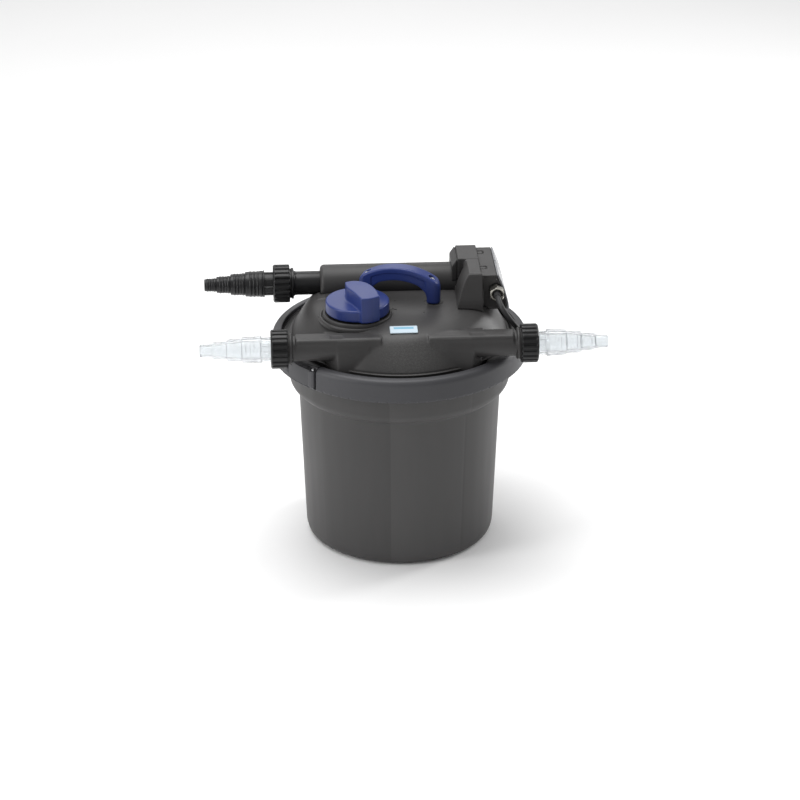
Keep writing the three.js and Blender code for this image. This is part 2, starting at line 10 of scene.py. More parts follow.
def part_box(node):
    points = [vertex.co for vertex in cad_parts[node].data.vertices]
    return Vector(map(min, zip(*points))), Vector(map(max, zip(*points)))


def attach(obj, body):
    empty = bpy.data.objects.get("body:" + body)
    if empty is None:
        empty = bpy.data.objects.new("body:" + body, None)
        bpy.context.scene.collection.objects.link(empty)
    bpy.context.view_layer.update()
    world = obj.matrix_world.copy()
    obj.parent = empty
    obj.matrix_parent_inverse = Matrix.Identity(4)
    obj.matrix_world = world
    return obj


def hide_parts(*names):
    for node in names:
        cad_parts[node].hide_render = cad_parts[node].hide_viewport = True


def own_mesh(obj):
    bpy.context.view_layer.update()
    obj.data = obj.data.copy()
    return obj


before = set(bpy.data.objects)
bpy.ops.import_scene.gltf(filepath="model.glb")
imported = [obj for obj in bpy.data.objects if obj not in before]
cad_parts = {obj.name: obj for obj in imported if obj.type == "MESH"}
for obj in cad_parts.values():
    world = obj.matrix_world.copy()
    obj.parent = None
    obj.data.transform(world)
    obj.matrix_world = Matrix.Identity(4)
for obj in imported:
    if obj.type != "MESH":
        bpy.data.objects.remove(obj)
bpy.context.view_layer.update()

MM = 0.001
TURN = 2 * math.pi

# ---- camera ----
camera = bpy.data.objects.new("camera", bpy.data.cameras.new("camera"))
bpy.context.scene.collection.objects.link(camera)
camera.data.sensor_width = 36
camera.data.lens = 134.2
camera.data.clip_end = 40
azimuth, elevation = math.radians(-3.5), math.radians(25)
back = Vector((math.sin(azimuth) * math.cos(elevation), -math.cos(azimuth) * math.cos(elevation),
               math.sin(elevation)))
camera.location = Vector((0.00075, -0.00005, 0.208)) + back * 4.5
camera.rotation_euler = (-back).to_track_quat("-Z", "Y").to_euler()
bpy.context.scene.camera = camera
bpy.context.scene.view_settings.view_transform = "Standard"


# ---- materials ----
def tone(red, green, blue):
    """Linear colour of an 8-bit display colour."""
    return [((c / 255 + 0.055) / 1.055) ** 2.4 if c > 10 else c / 3294 for c in (red, green, blue)]


def shaded(colour, factor):
    return [min(1.0, c * factor) for c in colour] + [1.0]


class Look:
    """A procedural material: mottled colour, uneven roughness and a fine moulded grain."""

    def __init__(self, name, colour, roughness, mottle=0.07, scale=14.0, grain=0.05, grain_scale=900.0,
                 stretch=(1, 1, 1), **constants):
        self.material = bpy.data.materials.new(name)
        self.material.use_nodes = True
        self.tree = self.material.node_tree
        self.shader = self.tree.nodes["Principled BSDF"]
        self.place = self.node("ShaderNodeTexCoord").outputs["Object"]
        mapping = self.node("ShaderNodeMapping")
        mapping.inputs["Scale"].default_value = stretch
        self.join(self.place, mapping.inputs["Vector"])
        self.clouds = self.noise(mapping.outputs[0], scale, 5)
        self.fine = self.noise(self.place, grain_scale, 2)
        self.colour = self.mix(self.spread(self.clouds, 0.3, 0.7, 0, 1), shaded(colour, 1 - mottle),
                               shaded(colour, 1 + mottle))
        self.join(self.colour, self.shader.inputs["Base Color"])
        self.join(self.spread(self.clouds, 0.25, 0.75, roughness - 0.05, roughness + 0.06),
                  self.shader.inputs["Roughness"])
        bump = self.node("ShaderNodeBump")
        bump.inputs["Strength"].default_value = grain
        bump.inputs["Distance"].default_value = 0.0006
        self.join(self.fine, bump.inputs["Height"])
        self.join(bump.outputs[0], self.shader.inputs["Normal"])
        self.shader.inputs["Specular IOR Level"].default_value = 0.35
        for key, value in constants.items():
            self.shader.inputs[key.replace("_", " ")].default_value = value

    def node(self, kind):
        return self.tree.nodes.new(kind)

    def join(self, source, target):
        self.tree.links.new(source, target)

    def noise(self, vector, scale, detail):
        node = self.node("ShaderNodeTexNoise")
        node.inputs["Scale"].default_value = scale
        node.inputs["Detail"].default_value = detail
        self.join(vector, node.inputs["Vector"])
        return node.outputs[0]

    def spread(self, value, low, high, to_low, to_high):
        node = self.node("ShaderNodeMapRange")
        node.clamp = True
        for name, number in (("From Min", low), ("From Max", high), ("To Min", to_low), ("To Max", to_high)):
            node.inputs[name].default_value = number
        self.join(value, node.inputs["Value"])
        return node.outputs[0]

    def mix(self, factor, a, b):
        node = self.node("ShaderNodeMix")
        node.data_type = "RGBA"
        self.join(factor, node.inputs[0])
        for value, target in ((a, node.inputs[6]), (b, node.inputs[7])):
            if isinstance(value, list):
                target.default_value = value
            else:
                self.join(value, target)
        return node.outputs[2]

    def maths(self, operation, a, b=0.0):
        node = self.node("ShaderNodeMath")
        node.operation = operation
        for value, target in ((a, node.inputs[0]), (b, node.inputs[1])):
            if isinstance(value, (int, float)):
                target.default_value = value
            else:
                self.join(value, target)
        return node.outputs[0]

    def axes(self):
        node = self.node("ShaderNodeSeparateXYZ")
        self.join(self.place, node.inputs[0])
        return node.outputs

    def over(self, factor, colour):
        """Lays another colour over what is there."""
        self.colour = self.mix(factor, self.colour, colour)
        self.join(self.colour, self.shader.inputs["Base Color"])


BODY = tone(62, 61, 61)
bucket_look = Look("bucket_plastic", BODY, 0.5, scale=9, stretch=(5, 5, 0.7), grain=0.04)
# Each 45° panel of the faceted bucket is painted lighter by its own fixed amount: painted reflection bands of
# the lights on the flat facets.
sides = bucket_look.axes()
around = bucket_look.maths("ARCTAN2", sides[1], sides[0])
panel_number = bucket_look.maths("FLOOR", bucket_look.maths("DIVIDE", bucket_look.maths(
    "ADD", around, math.radians(98.5 + 720)), math.radians(45)))
panel_reflection = bucket_look.maths("FRACT", bucket_look.maths("MULTIPLY", panel_number, 0.618))
bucket_look.over(bucket_look.spread(panel_reflection, 0, 1, 0.0, 0.16), tone(110, 109, 109) + [1.0])
lid_look = Look("lid_plastic", tone(53, 52, 52), 0.46, scale=16, grain=0.07, grain_scale=700)
ring_look = Look("ring_plastic", tone(64, 64, 67), 0.45, scale=11, grain=0.04)
# The slanted end panel of the control box is painted light grey: a painted highlight of its chamfer catching
# the light.
end_panel_highlight_look = Look("panel_plastic", tone(122, 123, 126), 0.26, scale=12, grain=0.02)
black_look = Look("black_plastic", tone(21, 21, 22), 0.34, scale=22, grain=0.05)
blue_look = Look("blue_plastic", tone(38, 52, 108), 0.33, scale=14, grain=0.04, grain_scale=600)
clear_look = Look("clear_plastic", tone(243, 246, 248), 0.14, mottle=0.02, scale=30, grain=0.02,
                  Transmission_Weight=0.86, IOR=1.4)
rubber_look = Look("rubber", tone(28, 28, 28), 0.7, scale=40, grain=0.1)
cable_look = Look("cable_rubber", tone(38, 38, 39), 0.48, scale=60, grain=0.06)
steel_look = Look("steel", tone(192, 192, 194), 0.26, mottle=0.05, scale=40, grain=0.03, stretch=(1, 1, 9),
                  Metallic=1.0)
nickel_look = Look("nickel", tone(208, 205, 196), 0.2, mottle=0.06, scale=60, grain=0.03, Metallic=1.0)
quartz_look = Look("quartz", tone(240, 244, 248), 0.06, mottle=0.02, scale=20, grain=0.01,
                   Transmission_Weight=0.95, IOR=1.46)
lamp_look = Look("lamp", tone(228, 230, 232), 0.3, mottle=0.04, scale=30, grain=0.02)
case_look = Look("ballast_case", tone(205, 205, 200), 0.4, mottle=0.05, scale=30, grain=0.04)
foam_look = Look("foam", tone(45, 74, 122), 0.95, mottle=0.3, scale=160, grain=0.9, grain_scale=520)
label_look = Look("label", tone(186, 201, 211), 0.35, mottle=0.02, scale=60, grain=0.02)
label_axes = label_look.axes()
band = label_look.maths("MULTIPLY", label_look.maths("GREATER_THAN", label_axes[1], 0.001),
                        label_look.maths("LESS_THAN", label_axes[1], 0.0062))
band = label_look.maths("MULTIPLY", band, label_look.maths("LESS_THAN", label_look.maths(
    "ABSOLUTE", label_axes[0]), 0.0145))
label_look.over(label_look.maths("MULTIPLY", band, 0.8), tone(92, 160, 190) + [1.0])

# A lighter patch on the lid between the front sockets: painted light on the strongly lit bulge there, broken
# up by real scuffs.
offset = lid_look.node("ShaderNodeVectorMath")
offset.operation = "DISTANCE"
lid_look.join(lid_look.place, offset.inputs[0])
offset.inputs[1].default_value = (0.006, -0.146, 0.342)
# A round pool of painted light centred on the bulge, fading out between 20 and 62 mm.
painted_light_patch = lid_look.spread(offset.outputs["Value"], 0.02, 0.062, 1, 0)
scuff = lid_look.spread(lid_look.noise(lid_look.place, 700, 9), 0.42, 0.64, 0.3, 1)
lid_look.over(lid_look.maths("MULTIPLY", lid_look.maths("MULTIPLY", painted_light_patch, scuff), 0.13),
              tone(150, 150, 148) + [1.0])


# ---- meshes ----
def build(name, points, faces, look, nodes=(), slot=None, body="root", sharp=None, place=None):
    """A mesh in millimetres that rides on a CAD body and stands for CAD nodes."""
    mesh = bpy.data.meshes.new(name)
    mesh.from_pydata((np.asarray(points, float) * MM).tolist(), [], [list(map(int, f)) for f in faces])
    if sharp is not None:
        work = bmesh.new()
        work.from_mesh(mesh)
        bmesh.ops.remove_doubles(work, verts=work.verts, dist=1e-6)
        bmesh.ops.recalc_face_normals(work, faces=work.faces)
        work.to_mesh(mesh)
        work.free()
    mesh.polygons.foreach_set("use_smooth", [True] * len(mesh.polygons))
    if sharp is not None:
        mesh.set_sharp_from_angle(angle=math.radians(sharp))
    mesh.materials.append(look.material)
    piece = bpy.data.objects.new(name, mesh)
    bpy.context.scene.collection.objects.link(piece)
    if place is not None:
        piece.matrix_world = place
    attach(piece, body)
    if nodes:
        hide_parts(*nodes)
    return piece


def curve(points, spacing):
    """Points along a centripetal Catmull-Rom curve through the given points."""
    p = np.array(points, float)
    p = np.vstack([2 * p[0] - p[1], p, 2 * p[-1] - p[-2]])
    out = []
    for i in range(1, len(p) - 2):
        a, b, c, d = p[i - 1:i + 3]
        gaps = [np.linalg.norm(v - u) for u, v in ((a, b), (b, c), (c, d))]
        knots = np.cumsum([0] + [max(1e-6, gap) ** 0.5 for gap in gaps])
        steps = max(2, int(gaps[1] / spacing) + 1)
        t = np.linspace(knots[1], knots[2], steps, endpoint=False)[:, None]

        def part_way(u, v, s, e):
            return u + (v - u) * (t - s) / (e - s)

        ab, bc, cd = (part_way(a, b, knots[0], knots[1]), part_way(b, c, knots[1], knots[2]),
                      part_way(c, d, knots[2], knots[3]))
        abc, bcd = part_way(ab, bc, knots[0], knots[2]), part_way(bc, cd, knots[1], knots[3])
        out.append(part_way(abc, bcd, knots[1], knots[2]))
    return np.vstack(out + [p[-2:-1]])


def filleted(corners, radius, steps=3):
    """A closed outline with its corners rounded. A corner may carry its own radius."""
    out = []
    for i, corner in enumerate(corners):
        own = corner[2] if len(corner) > 2 else radius
        here = np.array(corner[:2], float)
        before = np.array(corners[i - 1][:2], float) - here
        after = np.array(corners[(i + 1) % len(corners)][:2], float) - here
        reach = min(own, 0.45 * np.linalg.norm(before), 0.45 * np.linalg.norm(after))
        if reach < 0.02:
            out.append(here)
            continue
        a, b = here + before / np.linalg.norm(before) * reach, here + after / np.linalg.norm(after) * reach
        for t in np.linspace(0, 1, steps + 1):
            out.append(a * (1 - t) ** 2 + here * 2 * t * (1 - t) + b * t * t)
    return np.array(out)


def turned(section, sides, shape=None):
    """A closed section of (radius, height) turned round Z. shape(angles, radius, height) gives new radii."""
    angles = np.arange(sides) / sides * TURN
    radii = np.array([np.full(sides, r) if shape is None else shape(angles, r, h) for r, h in section])
    heights = np.repeat(np.array([h for _, h in section])[:, None], sides, 1)
    points = np.stack([radii * np.cos(angles), radii * np.sin(angles), heights], -1)
    count = len(section)
    index = np.arange(count * sides).reshape(count, sides)
    after = np.roll(index, -1, 0)
    faces = np.stack([index, np.roll(index, -1, 1), np.roll(after, -1, 1), after], -1)
    return points.reshape(-1, 3), faces.reshape(-1, 4)


def subdivided(section, steps_between):
    """The same closed section, each side cut into steps_between(r0, h0, r1, h1) equal lengths."""
    out = []
    for (r0, h0), (r1, h1) in zip(section, np.roll(section, -1, 0)):
        steps = steps_between(r0, h0, r1, h1)
        out += [(r0 + (r1 - r0) * i / steps, h0 + (h1 - h0) * i / steps) for i in range(steps)]
    return out


def prism(corners, low, high):
    """An outline drawn out from one height to another, its ends closed."""
    count = len(corners)
    points = np.vstack([np.column_stack([corners, np.full(count, h)]) for h in (low, high)])
    faces = [[i, (i + 1) % count, count + (i + 1) % count, count + i] for i in range(count)]
    return points, faces + [list(range(count))[::-1], list(range(count, 2 * count))]


def along_x(points, y, z, side=1, x=0):
    return np.stack([x + side * points[:, 2], y + points[:, 0], z + points[:, 1]], 1)


def along_y(points, x, z, y=0):
    return np.stack([x + points[:, 0], y + points[:, 2], z + points[:, 1]], 1)


def tube(path, radius, sides=12):
    """A round tube along a path, with flat ends."""
    path = np.asarray(path, float)
    ahead = np.gradient(path, axis=0)
    ahead /= np.linalg.norm(ahead, axis=1)[:, None]
    normal = np.cross(ahead[0], (0, 0, 1.0))
    angles = np.arange(sides) / sides * TURN
    points = []
    for place, direction in zip(path, ahead):
        normal = normal - direction * normal.dot(direction)
        normal /= np.linalg.norm(normal)
        other = np.cross(direction, normal)
        points.append(place + radius * (np.cos(angles)[:, None] * normal + np.sin(angles)[:, None] * other))
    count = len(path)
    index = np.arange(count * sides).reshape(count, sides)
    quads = np.stack([index[:-1], np.roll(index, -1, 1)[:-1], np.roll(index, -1, 1)[1:], index[1:]], -1)
    ends = [list(range(sides))[::-1], list(range((count - 1) * sides, count * sides))]
    return np.vstack(points), quads.reshape(-1, 4).tolist() + ends


# ---- solids from distance fields, sampled on a grid ----
def grid(low, high, cell):
    return np.meshgrid(*[np.arange(a, b + c, c, dtype=np.float32) for a, b, c in zip(low, high, cell)],
                       indexing="ij", sparse=True)


def outline(px, py, corners):
    """Distance to a closed outline, below zero inside it."""
    nearest = np.full(np.broadcast(px, py).shape, 1e9, np.float32)
    sign = np.ones_like(nearest)
    for (xi, yi), (xj, yj) in zip(corners, np.roll(np.asarray(corners, float), 1, 0)):
        ex, ey, wx, wy = xj - xi, yj - yi, px - xi, py - yi
        t = np.clip((wx * ex + wy * ey) / max(1e-9, ex * ex + ey * ey), 0, 1)
        nearest = np.minimum(nearest, (wx - ex * t) ** 2 + (wy - ey * t) ** 2)
        above, below, left = py >= yi, py < yj, ex * wy > ey * wx
        sign = np.where((above & below & left) | (~above & ~below & ~left), -sign, sign)
    return sign * np.sqrt(nearest)


def common(fields, radius=0.5):
    """What several solids share, its edges rounded."""
    moved = [f + radius for f in fields]
    outside = np.sqrt(functools.reduce(np.add, [np.maximum(f, 0) ** 2 for f in moved]))
    return outside + np.minimum(functools.reduce(np.maximum, moved), 0) - radius


def between(value, low, high):
    return np.abs(value - (low + high) / 2) - (high - low) / 2


def block(x, y, z, low, high, radius=1.0):
    return common([between(c, a, b) for c, a, b in zip((x, y, z), low, high)], radius)


def drum(u, v, w, cu, cv, radius, low, high, edge=0.6):
    return common([np.hypot(u - cu, v - cv) - radius, between(w, low, high)], edge)


def joined(a, b, soft=1.0):
    h = np.clip(0.5 + 0.5 * (b - a) / soft, 0, 1)
    return b + (a - b) * h - soft * h * (1 - h)


def carved(a, b, soft=0.5):
    return -joined(-a, b, soft)


def surface(field, low, cell):
    """Vertices and quads where the sampled field crosses zero."""
    cells = np.array(field.shape) - 1
    inside = field < 0
    size = int(cells.prod())
    total, count, quads = np.zeros((size, 3)), np.zeros(size), []
    for axis in range(3):
        lower = tuple(slice(0, -1) if k == axis else slice(None) for k in range(3))
        upper = tuple(slice(1, None) if k == axis else slice(None) for k in range(3))
        crossing = inside[lower] != inside[upper]
        at = np.argwhere(crossing)
        near, far = field[lower][crossing], field[upper][crossing]
        point = at.astype(float)
        point[:, axis] += near / (near - far)
        u, v = [k for k in range(3) if k != axis]
        ids = []
        for du, dv in ((0, 0), (1, 0), (1, 1), (0, 1)):
            cell_at = at.copy()
            cell_at[:, u] -= du
            cell_at[:, v] -= dv
            key = (cell_at[:, 0] * cells[1] + cell_at[:, 1]) * cells[2] + cell_at[:, 2]
            for k in range(3):
                total[:, k] += np.bincount(key, point[:, k], size)
            count += np.bincount(key, minlength=size)
            ids.append(key)
        quad = np.stack(ids, 1)
        turn = inside[lower][crossing] == (axis == 1)
        quad[turn] = quad[turn][:, ::-1]
        quads.append(quad)
    used = np.flatnonzero(count)
    number = np.full(size, -1)
    number[used] = np.arange(len(used))
    return np.array(low) + total[used] / count[used, None] * np.array(cell), number[np.vstack(quads)]


# ---- mains cable, its coil and plug ----
ROUTE = [
    (141, -58.9, 397), (141, -63.5, 396.8), (142, -71, 395.2), (145.2, -79.5, 390), (150.3, -85, 382.5),
    (157.5, -87.5, 373), (165, -86.5, 363), (171, -83, 353.5), (173.6, -77, 343.5), (172.2, -66, 334.5),
    (169.8, -52, 330.6), (167, -36, 328.6), (168.6, -12, 325.7), (169, 18, 325.5), (163.5, 46, 325.5),
    (155, 69.5, 326), (147.6, 86, 328.6), (141.4, 101.5, 332), (137.4, 115.5, 333.6), (135.4, 129.5, 331.6),
    (134.6, 141.5, 324), (133.8, 148.6, 311), (133, 151, 292), (132.4, 151.6, 255), (132, 151.8, 200),
    (131.8, 152, 140), (131.4, 152.4, 92), (129.6, 154, 55), (122.5, 157.8, 24), (110, 161.4, 9),
    (95, 163.3, 4.5), (76.8, 163.5, 4.2), (60, 163.5, 4.1)]
PLUG_AT = (-40, 168, 19)
TAIL_END = [(30, 163.5, 28.4), (13.2, 163.5, 28.4), (-2, 163.6, 27.4), (-16, 164, 23.2), (-28.2, 165.5, 19.4),
            PLUG_AT]
GLAND_X, GLAND_Z = 141, 397
COIL_X, COIL_Y, COIL_R = 45, 222, 4.0
turns_at = [0, 3, 3.667, 6.667, 7.333, 10.333, 11, 14]
turn = np.linspace(0, 14, 14 * 48 + 1)
coil_radius = np.interp(turn, turns_at, [58.5, 33.5, 33.5, 58.5, 58.5, 33.5, 33.5, 58.5])
coil_height = np.interp(turn, turns_at, [4.1, 4.1, 12.2, 12.2, 20.3, 20.3, 28.4, 28.4])
coil_angle = -math.pi / 2 - turn * TURN
coil = np.stack([COIL_X + coil_radius * np.cos(coil_angle), COIL_Y + coil_radius * np.sin(coil_angle),
                 coil_height], 1)
cable_path = np.vstack([curve(ROUTE, 3), coil, curve(TAIL_END, 3)])
cable = build("mains_lead", *tube(cable_path, COIL_R), cable_look,
              ["mains_cable", "cable_coil", "mains_cable_end"], "cable", sharp=50)

PLUG = Matrix.Translation(Vector(PLUG_AT) * MM) @ Matrix.Rotation(math.radians(168), 4, "Z")
plug_section = filleted([
    (0.2, 24.3), (8.6, 24.3), (9.4, 27), (12.2, 29), (18.2, 37), (18.2, 38.6), (17.2, 39.4), (17.2, 41),
    (18.6, 41.8), (18.6, 43.6), (17.4, 44.4), (17.4, 46), (18.6, 46.8), (18.6, 48.6), (17.6, 49.4),
    (17.6, 51), (18.6, 52), (18.6, 56), (17.4, 58), (0.2, 58)], 0.7, 2)


def plug_shape(angles, r, _):
    flat = 15.6 / np.maximum(0.05, np.abs(np.sin(angles)))
    return np.minimum(r, flat)


plug_points, plug_faces = turned(plug_section, 96, plug_shape)
plug = build("plug_body", along_x(plug_points, 0, 0), plug_faces, cable_look, ["mains_plug"], "cable",
             sharp=40, place=PLUG)
for number, y in enumerate((-9.5, 9.5)):
    section = filleted([(0.15, 56), (2.4, 56), (2.4, 75.2), (1.5, 76), (0.15, 76)], 0.5)
    points, faces = turned(section, 24)
    build(f"plug_pin_{number + 1}", along_x(points, y, 0), faces, nickel_look, (), "nickel",
                      sharp=40, place=PLUG)


def ribbed_sleeve(start, end, r0, r1, bore, ribs):
    """The section of a strain relief: a tapered sleeve with grooves round it."""
    pitch = (end - start) / ribs
    section = [(bore, start), (r0, start)]
    for i in range(ribs):
        x = start + i * pitch
        r = r0 + (r1 - r0) * (i + 0.5) / ribs
        section += [(r, x + 0.12 * pitch), (r, x + 0.62 * pitch), (r - 0.7, x + 0.68 * pitch),
                    (r - 0.7, x + 0.94 * pitch)]
    return filleted(section + [(r1 - 0.3, end), (bore, end)], 0.25, 2)


points, faces = turned(ribbed_sleeve(0.3, 24, 4.9, 7.4, 0.3, 6), 32)
plug_relief = build("plug_sleeve", along_x(points, 0, 0), faces, cable_look, ["plug_relief"], "cable",
                    sharp=40, place=PLUG)
points, faces = turned(ribbed_sleeve(0, 22, 5.9, 4.6, 0.3, 6), 32)
build("gland_sleeve", along_y(points * (1, 1, -1), GLAND_X, GLAND_Z, -36.5), faces, cable_look,
      ["cable_relief"], "cable", sharp=40)

# ---- bucket ----
bucket_section = filleted([
    (0.5, 0, 0), (128, 0, 6), (138.6, 3.4, 7), (142, 14, 8), (151.2, 238, 3), (152.6, 241.6, 2),
    (157, 242.4, 3), (162.4, 247.2, 4), (165, 254, 6), (166.4, 290, 3), (166.4, 295.8, 0.6),
    (182.5, 296.4, 0.8), (182.5, 303, 0.8), (162.4, 303, 1), (162.4, 290, 4), (161, 256, 5),
    (152.4, 247, 4), (147.2, 243.4, 4), (137.8, 14, 8), (127, 5, 6), (0.5, 5, 0)], 1, 5)
seams = np.radians(-98.5 + 45 * np.arange(8))


def bucket_shape(angles, r, h):
    if r < 120 or not 6 < h < 288:
        return np.full(len(angles), r)
    gap = np.abs((angles[:, None] - seams[None] + math.pi) % TURN - math.pi).min(1) * r
    groove = np.exp(-((gap / 0.7) ** 2)) * 0.3
    return r - groove - 0.05 * np.sin(angles * 37 + h * 0.01) * (groove < 0.01)


def bucket_steps(r0, h0, r1, h1):
    return max(1, int(math.hypot(r1 - r0, h1 - h0) / 22))


build("bucket_shell", *turned(subdivided(bucket_section, bucket_steps), 480, bucket_shape), bucket_look,
      ["bucket"], "bucket_plastic", sharp=32)

# ---- lid ----
KNOB_X, KNOB_Y = -65, -54
TUBE_Y, TUBE_Z = 55, 380
TUBE_ROOM_R, PORT_R = 27.3, 13.7
SOCKET_Y, SOCKET_Z = -119, 350
HANDLE_TURN, HANDLE_Y = math.radians(-17.5), -5.5
LEG_U, SCREW_U = 51.5, 48.5
dome_line = curve([(163, 321, 0), (156.5, 333, 0), (143.5, 355, 0), (137.5, 362.8, 0), (130, 368.5, 0),
                   (117, 372.6, 0), (90, 374.9, 0), (40, 375.4, 0), (0, 375.5, 0)], 4)[:, :2].tolist()
DOME = [(-80, 306.6), (182.4, 306.6), (182.4, 318.4), (175.3, 318.6), (175.3, 321), (165, 321),
        *dome_line, (-80, 375.5)]
INNER = [(-80, 296), (158.5, 296), (158.2, 320), (151.5, 333), (138.5, 355), (127, 364.2), (113, 368),
         (88, 370.4), (0, 371), (-80, 371)]
SKIRT = filleted([(26, -125), (40, -133.5, 8), (62, -136, 6), (98, -136, 1.5), (103, -127, 3), (112, -113),
                  (117, -96), (26, -96)], 1.5)
SOCKET_BOX = filleted([(-136, 344.5, 8), (-136, 369.6, 8), (-104, 369.6, 10), (-104, 344.5)], 1, 6)


def about_axis(x, y, z, corners):
    """Distance to an outline of (radius, height) turned round Z."""
    step = 0.5
    table = outline(np.arange(0, 290, step, dtype=np.float32)[:, None], z.ravel()[None], corners)
    place = (np.hypot(x, y)[:, :, 0]) / step
    lower = place.astype(int)
    part = (place - lower)[:, :, None]
    return table[lower] * (1 - part) + table[lower + 1] * part


def handle_places():
    """The feet of the pull handle, in plan."""
    across, along = LEG_U * math.cos(HANDLE_TURN), LEG_U * math.sin(HANDLE_TURN)
    return [(side * across, HANDLE_Y + side * along) for side in (-1, 1)]


def lid_field(x, y, z):
    dome = about_axis(x, y, z, DOME)
    wide = np.abs(x)
    radius = np.hypot(x, y)
    channel = common([between(radius, 160.6, 174.6), between(z, 316, 325.4), x - 120], 0.4)
    body = carved(dome, channel, 0.8)
    for side in (-1, 1):
        sx = x * side
        lean = np.clip(361 - z, 0, 40) * 0.17
        body = joined(body, common([outline(y, z, SOCKET_BOX), between(sx, 34, 158)], 0.8), 1.5)
        body = joined(body, common([outline(sx, y + lean, SKIRT), between(z, 317, 366)], 1.2), 1.2)
        label = (90, 108) if side < 0 else (95, 117)
        body = carved(body, block(sx, y, z, (label[0], -131.5, 368.9), (label[1], -120, 375), 0.3), 0.4)
    body = joined(body, drum(y, z, wide, SOCKET_Y, SOCKET_Z, 18.3, 52, 180, 0.4), 2.5)
    body = joined(body, drum(y, z, wide, SOCKET_Y, SOCKET_Z, 23.2, 163.5, 167.2, 0.7), 1.6)
    body = joined(body, drum(y, z, wide, SOCKET_Y, SOCKET_Z, 22, 163.5, 180, 0.7), 0.5)
    body = joined(body, block(wide, y + (z - 350) * 0.25, z, (147, -110, 336), (158, -97, 363), 1), 1.5)
    body = joined(body, drum(x, y, z, KNOB_X, KNOB_Y, 50, 362, 375.4, 1), 1.5)
    for hx, hy in handle_places():
        body = joined(body, drum(x, y, z, hx, hy, 12.4, 368, 376.3, 0.8), 2)
    saddle = drum(y, z, x, TUBE_Y, TUBE_Z, 30.5, -119.5, -112, 1.4)
    body = joined(body, common([saddle, z - 371], 1), 3)
    boss = common([dome - 1.0, block(x, y, z, (-122, 8, 340), (-109, 22, 380), 1)], 0.4)
    body = joined(body, boss, 0.8)
    cradle = drum(y, z, x, TUBE_Y, TUBE_Z, 31.5, -126, 108)
    hollow = common([about_axis(x, y, z, INNER), -cradle, -drum(x, y, z, KNOB_X, KNOB_Y, 13, 352, 374)], 0.4)
    body = carved(body, hollow)
    cuts = [drum(y, z, wide, SOCKET_Y, SOCKET_Z, 14, 50, 190),
            drum(y, z, x, TUBE_Y, TUBE_Z, TUBE_ROOM_R, -116.3, 119),
            drum(y, z, x, TUBE_Y, TUBE_Z, 18.2, -260, -115), drum(x, y, z, 60, TUBE_Y, 12, 330, 385),
            drum(x, y, z, KNOB_X, KNOB_Y, 8.4, 330, 400)]
    cuts += [drum(x, y, z, hx, hy, 5.4, 330, 400) for hx, hy in handle_places()]
    for tool in cuts:
        body = carved(body, tool, 0.3)
    return body


low, cell = (-186, -187, 303.5), (1.5, 1.5, 1.2)
field = lid_field(*grid(low, (186, 187, 382), cell))
build("lid_shell", *surface(field, low, cell), lid_look, ["lid"], "lid_plastic")

# The beads round the knob's seat, gate marks on the dome and a plain pointer beside the knob.
seat = filleted([(44, 367), (57, 367), (57, 371.6, 1), (55.8, 373.9, 1.4), (53.2, 373.9, 1.4),
                 (52.2, 372, 0.6), (51.5, 372, 0.4), (51.2, 376.2, 0.8), (50.4, 378.5, 1.4),
                 (47.2, 378.5, 1.4), (46, 376, 0.6), (44, 376)], 0.5, 4)
points, faces = turned(seat, 180)
build("knob_seat", points + (KNOB_X, KNOB_Y, 0), faces, lid_look, (), "lid_plastic", sharp=40)
foot = filleted([(159.4, 321.6), (163.6, 321.6), (164.6, 322.2), (164.6, 323), (163.6, 323.6),
                 (159.4, 323.6)], 0.4)
build("lid_foot", *turned(foot, 300), lid_look, (), "lid_plastic", sharp=40)
for number, (x, y, r) in enumerate(((-7, -10, 1.7), (32.7, -55, 2.1))):
    points, faces = turned(filleted([(0.1, -1), (r, -1), (r, 0.3), (r * 0.6, 0.7), (0.1, 0.7)], 0.3), 24)
    build(f"gate_mark_{number + 1}", points + (x, y, 375.3), faces, lid_look, (), "lid_plastic", sharp=40)
pointer = filleted([(-14, -40), (-6.5, -44), (-8, -36)], 1)
build("knob_pointer", *prism(pointer, 375, 376.1), lid_look, (), "lid_plastic", sharp=30)

# ---- clamp ring and latch, shaped along their own arc ----
RING_R = 187.6
LATCH_AT = 224.5
split_at = LATCH_AT + 1.8
ring_section = filleted([
    (167, 290, 0.8), (189, 290, 1.2), (190, 292, 1), (190, 319, 5), (186.4, 323.8, 3), (180, 325, 2),
    (176, 325, 1), (176, 319.2, 0.6), (184, 319.2, 1), (184, 295.6, 1.5), (167, 295.6, 0.8)], 1)


def arc_mapped(points, centre):
    angle = points[:, 0] / RING_R + math.radians(centre)
    return np.stack([points[:, 1] * np.cos(angle), points[:, 1] * np.sin(angle), points[:, 2]], 1)


def ring_field(s, r, z):
    """s runs along the ring from its split, in millimetres at the latch's radius."""
    table = outline(r[0], z[0], ring_section)[None]
    length = RING_R * TURN
    body = common([table + 0 * s, between(s, 1.0, length - 1.0)], 0.6)
    latch_s = (LATCH_AT - split_at) * math.pi / 180 * RING_R + length
    reach = 25 * math.pi / 180 * RING_R
    pocket = common([between(s, latch_s - reach + 1.1, latch_s + 6.8), 186.4 - r,
                     between(z, 292.8, 320.2)], 0.4)
    room = common([np.hypot(s - latch_s, r - RING_R) - 5.2, between(z, 292.4, 320.6)], 0.3)
    body = carved(carved(body, pocket, 0.4), room, 0.3)
    body = carved(body, common([between(s, latch_s - 12, length + 4), 183.6 - r, 321.4 - z], 1), 0.8)
    pin = common([np.hypot(s - latch_s, r - RING_R) - 2.3, between(z, 291, 323)], 0.2)
    body = carved(body, pin, 0.2)
    tick = np.abs((s + 7.2) % 14.4 - 7.2) - 0.9
    body = carved(body, common([tick, 188.2 - r, z - 292.8], 0.2), 0.3)
    nub_s = ((20 - split_at) % 360) * math.pi / 180 * RING_R
    return joined(body, block(s, r, z, (nub_s - 3.5, 187, 312), (nub_s + 3.5, 192, 318), 0.9), 0.6)


